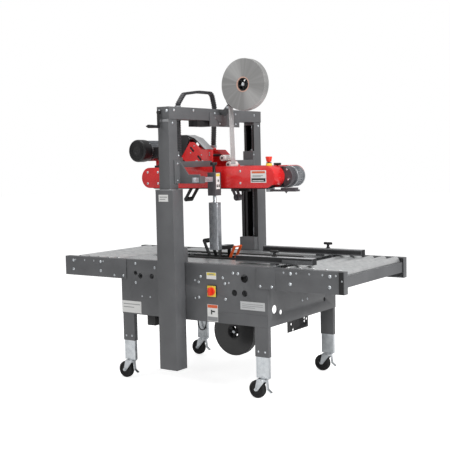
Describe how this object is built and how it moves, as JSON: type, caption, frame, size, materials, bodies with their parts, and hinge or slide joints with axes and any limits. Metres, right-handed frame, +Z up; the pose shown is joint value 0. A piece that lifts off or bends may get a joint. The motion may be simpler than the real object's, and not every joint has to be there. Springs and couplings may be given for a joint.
{
  "type": "carton sealing machine",
  "caption": "Semi-automatic carton sealer: roller bed on four castered legs, side columns, cranked belt-drive taping head above and a second taping head below.",
  "frame": {"origin": "floor level, under the middle of the bed and of the overall width", "axes": "+X the way the carton travels (exit end), +Y to the rear side, away from the crank and switch, +Z up"},
  "size_m": [1.972, 1.075, 1.9025],
  "materials": {
    "grey_paint": "satin",
    "red_paint": "gloss",
    "black_paint": "satin",
    "orange_paint": "satin",
    "zinc_steel": "satin",
    "turned_steel": "polished",
    "cast_aluminium": "satin",
    "belt_rubber": "matte",
    "wheel_rubber": "matte",
    "cable_rubber": "matte",
    "black_plastic": "matte",
    "red_plastic": "gloss",
    "tape_film": "gloss"
  },
  "bodies": {
    "machine": {"base_cabinet": "grey_paint", "bed_plates": "zinc_steel", "infeed_frame": "grey_paint", "exit_frame": "grey_paint", "lower_belts": "belt_rubber", "lower_tape_head": "black_paint", "under_brackets": "black_paint", "leg_tubes": "zinc_steel", "lower_columns": "grey_paint", "upper_columns": "grey_paint", "top_beam": "grey_paint", "upper_roll_bracket": "grey_paint", "tape_web": "tape_film", "cable_chain": "black_plastic", "supply_cable": "cable_rubber", "compression_arm": "grey_paint"},
    "head": {"head_bridge": "grey_paint", "head_cover_front": "red_paint", "head_cover_rear": "red_paint", "upper_belts": "belt_rubber", "belt_motors": "cast_aluminium", "upper_tape_head": "red_paint"},
    "compression_slide": {"compression_clamp": "grey_paint"},
    "compression_shoe": {"compression_shoe": "zinc_steel"},
    "crank": {"crank_shaft": "zinc_steel"},
    "crank_grip": {"crank_grip": "black_plastic"},
    "front_screw": {"lead_screw_front": "turned_steel"},
    "rear_screw": {"lead_screw_rear": "turned_steel"},
    "lower_drive": {"lower_drive_shaft": "turned_steel"},
    "lower_idler": {"lower_idler_shaft": "turned_steel"},
    "upper_drive": {"upper_drive_shaft": "turned_steel"},
    "upper_idler": {"upper_idler_shaft": "turned_steel"},
    "lower_apply": {"lower_apply_arm": "black_paint"},
    "lower_buff": {"lower_buff_arm": "orange_paint"},
    "upper_apply": {"upper_apply_arm": "black_paint"},
    "upper_buff": {"upper_buff_arm": "zinc_steel"},
    "lower_roll": {"lower_tape_roll": "tape_film"},
    "upper_roll": {"upper_tape_roll": "tape_film"},
    "front_guide": {"side_guide_front": "grey_paint"},
    "rear_guide": {"side_guide_rear": "grey_paint"},
    "e_stop": {"e_stop_button": "red_plastic"},
    "main_switch": {"main_switch_knob": "red_plastic"},
    "infeed_roller_1": {"infeed_roller_1": "zinc_steel"},
    "infeed_roller_2": {"infeed_roller_2": "zinc_steel"},
    "infeed_roller_3": {"infeed_roller_3": "zinc_steel"},
    "infeed_roller_4": {"infeed_roller_4": "zinc_steel"},
    "infeed_roller_5": {"infeed_roller_5": "zinc_steel"},
    "exit_roller_1": {"exit_roller_1": "zinc_steel"},
    "exit_roller_2": {"exit_roller_2": "zinc_steel"},
    "exit_roller_3": {"exit_roller_3": "zinc_steel"},
    "exit_roller_4": {"exit_roller_4": "zinc_steel"},
    "exit_roller_5": {"exit_roller_5": "zinc_steel"},
    "infeed_front_fork": {"caster_fork_infeed_front": "zinc_steel"},
    "infeed_front_wheel": {"caster_wheel_infeed_front": "wheel_rubber"},
    "infeed_rear_fork": {"caster_fork_infeed_rear": "zinc_steel"},
    "infeed_rear_wheel": {"caster_wheel_infeed_rear": "wheel_rubber"},
    "exit_front_fork": {"caster_fork_exit_front": "zinc_steel"},
    "exit_front_wheel": {"caster_wheel_exit_front": "wheel_rubber"},
    "exit_rear_fork": {"caster_fork_exit_rear": "zinc_steel"},
    "exit_rear_wheel": {"caster_wheel_exit_rear": "wheel_rubber"}
  },
  "joints": [
    {"name": "infeed_roller_1_spin", "type": "hinge", "parent": "machine", "child": "infeed_roller_1", "pos_m": [-0.9, 0.0515, 0.706], "axis": [0, 1, 0], "continuous": true},
    {"name": "infeed_roller_2_spin", "type": "hinge", "parent": "machine", "child": "infeed_roller_2", "pos_m": [-0.822, 0.0515, 0.706], "axis": [0, 1, 0], "continuous": true},
    {"name": "infeed_roller_3_spin", "type": "hinge", "parent": "machine", "child": "infeed_roller_3", "pos_m": [-0.744, 0.0515, 0.706], "axis": [0, 1, 0], "continuous": true},
    {"name": "infeed_roller_4_spin", "type": "hinge", "parent": "machine", "child": "infeed_roller_4", "pos_m": [-0.666, 0.0515, 0.706], "axis": [0, 1, 0], "continuous": true},
    {"name": "infeed_roller_5_spin", "type": "hinge", "parent": "machine", "child": "infeed_roller_5", "pos_m": [-0.588, 0.0515, 0.706], "axis": [0, 1, 0], "continuous": true},
    {"name": "exit_roller_1_spin", "type": "hinge", "parent": "machine", "child": "exit_roller_1", "pos_m": [0.626, 0.0515, 0.706], "axis": [0, 1, 0], "continuous": true},
    {"name": "exit_roller_2_spin", "type": "hinge", "parent": "machine", "child": "exit_roller_2", "pos_m": [0.704, 0.0515, 0.706], "axis": [0, 1, 0], "continuous": true},
    {"name": "exit_roller_3_spin", "type": "hinge", "parent": "machine", "child": "exit_roller_3", "pos_m": [0.782, 0.0515, 0.706], "axis": [0, 1, 0], "continuous": true},
    {"name": "exit_roller_4_spin", "type": "hinge", "parent": "machine", "child": "exit_roller_4", "pos_m": [0.86, 0.0515, 0.706], "axis": [0, 1, 0], "continuous": true},
    {"name": "exit_roller_5_spin", "type": "hinge", "parent": "machine", "child": "exit_roller_5", "pos_m": [0.938, 0.0515, 0.706], "axis": [0, 1, 0], "continuous": true},
    {"name": "head_height", "type": "slide", "parent": "machine", "child": "head", "axis": [0, 0, 1], "range_m": [-0.26, 0.06], "deforming": ["tape_web", "cable_chain"]},
    {"name": "front_screw_turn", "type": "hinge", "parent": "machine", "child": "front_screw", "pos_m": [-0.095, -0.3865, 1.1], "axis": [0, 0, 1], "range_deg": [-4800, 1200]},
    {"name": "rear_screw_turn", "type": "hinge", "parent": "machine", "child": "rear_screw", "pos_m": [-0.095, 0.4895, 1.1], "axis": [0, 0, 1], "range_deg": [-4800, 1200]},
    {"name": "crank_turn", "type": "hinge", "parent": "machine", "child": "crank", "pos_m": [-0.117, 0.0515, 1.585], "axis": [0, 1, 0], "range_deg": [-1200, 4800]},
    {"name": "crank_grip_spin", "type": "hinge", "parent": "crank", "child": "crank_grip", "pos_m": [-0.117, -0.4885, 1.505], "axis": [0, 1, 0], "continuous": true},
    {"name": "lower_drive_spin", "type": "hinge", "parent": "machine", "child": "lower_drive", "pos_m": [0.43, 0.0515, 0.6986], "axis": [0, 1, 0], "continuous": true},
    {"name": "lower_idler_spin", "type": "hinge", "parent": "machine", "child": "lower_idler", "pos_m": [-0.43, 0.0515, 0.6986], "axis": [0, 1, 0], "continuous": true},
    {"name": "upper_drive_spin", "type": "hinge", "parent": "head", "child": "upper_drive", "pos_m": [0.366, 0.0515, 1.1754], "axis": [0, 1, 0], "continuous": true},
    {"name": "upper_idler_spin", "type": "hinge", "parent": "head", "child": "upper_idler", "pos_m": [-0.44, 0.0515, 1.1754], "axis": [0, 1, 0], "continuous": true},
    {"name": "lower_apply_swing", "type": "hinge", "parent": "machine", "child": "lower_apply", "pos_m": [-0.075, 0.0515, 0.64], "axis": [0, 1, 0], "range_deg": [-50, 0], "stiffness_Nm_per_rad": 4, "springref_deg": 28.65},
    {"name": "lower_buff_swing", "type": "hinge", "parent": "machine", "child": "lower_buff", "pos_m": [0, 0.0515, 0.65], "axis": [0, 1, 0], "range_deg": [0, 50], "stiffness_Nm_per_rad": 4, "springref_deg": -28.65},
    {"name": "upper_apply_swing", "type": "hinge", "parent": "head", "child": "upper_apply", "pos_m": [-0.19, 0.0515, 1.215], "axis": [0, 1, 0], "range_deg": [0, 45], "stiffness_Nm_per_rad": 4, "springref_deg": -17.19},
    {"name": "upper_buff_swing", "type": "hinge", "parent": "head", "child": "upper_buff", "pos_m": [0.03, 0.0515, 1.195], "axis": [0, 1, 0], "range_deg": [-45, 0], "stiffness_Nm_per_rad": 4, "springref_deg": 17.19},
    {"name": "lower_roll_spin", "type": "hinge", "parent": "machine", "child": "lower_roll", "pos_m": [0.045, 0.0495, 0.272], "axis": [0, 1, 0], "continuous": true},
    {"name": "upper_roll_spin", "type": "hinge", "parent": "machine", "child": "upper_roll", "pos_m": [0.148, 0.0495, 1.75], "axis": [0, 1, 0], "continuous": true},
    {"name": "compression_slide", "type": "slide", "parent": "machine", "child": "compression_slide", "axis": [0, 1, 0], "range_m": [-0.08, 0.02]},
    {"name": "compression_shoe_height", "type": "slide", "parent": "compression_slide", "child": "compression_shoe", "axis": [0, 0, 1], "range_m": [-0.03, 0.038]},
    {"name": "front_guide_slide", "type": "slide", "parent": "machine", "child": "front_guide", "axis": [0, 1, 0], "range_m": [-0.07, 0.07]},
    {"name": "rear_guide_slide", "type": "slide", "parent": "machine", "child": "rear_guide", "axis": [0, 1, 0], "range_m": [-0.07, 0.07]},
    {"name": "e_stop_press", "type": "slide", "parent": "head", "child": "e_stop", "axis": [0, 0, 1], "range_m": [-0.005, 0]},
    {"name": "main_switch_turn", "type": "hinge", "parent": "machine", "child": "main_switch", "pos_m": [0.153, -0.3345, 0.575], "axis": [0, 1, 0], "range_deg": [0, 90]},
    {"name": "infeed_front_swivel", "type": "hinge", "parent": "machine", "child": "infeed_front_fork", "pos_m": [-0.476, -0.3185, 0.115], "axis": [0, 0, 1], "continuous": true},
    {"name": "infeed_front_wheel_spin", "type": "hinge", "parent": "infeed_front_fork", "child": "infeed_front_wheel", "pos_m": [-0.516, -0.3185, 0.05], "axis": [0, 1, 0], "continuous": true},
    {"name": "infeed_rear_swivel", "type": "hinge", "parent": "machine", "child": "infeed_rear_fork", "pos_m": [-0.476, 0.4215, 0.115], "axis": [0, 0, 1], "continuous": true},
    {"name": "infeed_rear_wheel_spin", "type": "hinge", "parent": "infeed_rear_fork", "child": "infeed_rear_wheel", "pos_m": [-0.516, 0.4215, 0.05], "axis": [0, 1, 0], "continuous": true},
    {"name": "exit_front_swivel", "type": "hinge", "parent": "machine", "child": "exit_front_fork", "pos_m": [0.476, -0.3185, 0.115], "axis": [0, 0, 1], "continuous": true},
    {"name": "exit_front_wheel_spin", "type": "hinge", "parent": "exit_front_fork", "child": "exit_front_wheel", "pos_m": [0.436, -0.3185, 0.05], "axis": [0, 1, 0], "continuous": true},
    {"name": "exit_rear_swivel", "type": "hinge", "parent": "machine", "child": "exit_rear_fork", "pos_m": [0.476, 0.4215, 0.115], "axis": [0, 0, 1], "continuous": true},
    {"name": "exit_rear_wheel_spin", "type": "hinge", "parent": "exit_rear_fork", "child": "exit_rear_wheel", "pos_m": [0.436, 0.4215, 0.05], "axis": [0, 1, 0], "continuous": true}
  ],
  "couplings": [
    {"joint": "front_screw_turn", "follows": "head_height", "rad_per_m": 314.16},
    {"joint": "rear_screw_turn", "follows": "head_height", "rad_per_m": 314.16},
    {"joint": "crank_turn", "follows": "head_height", "rad_per_m": -314.16},
    {"joint": "lower_idler_spin", "follows": "lower_drive_spin", "ratio": 1},
    {"joint": "upper_idler_spin", "follows": "upper_drive_spin", "ratio": 1}
  ]
}
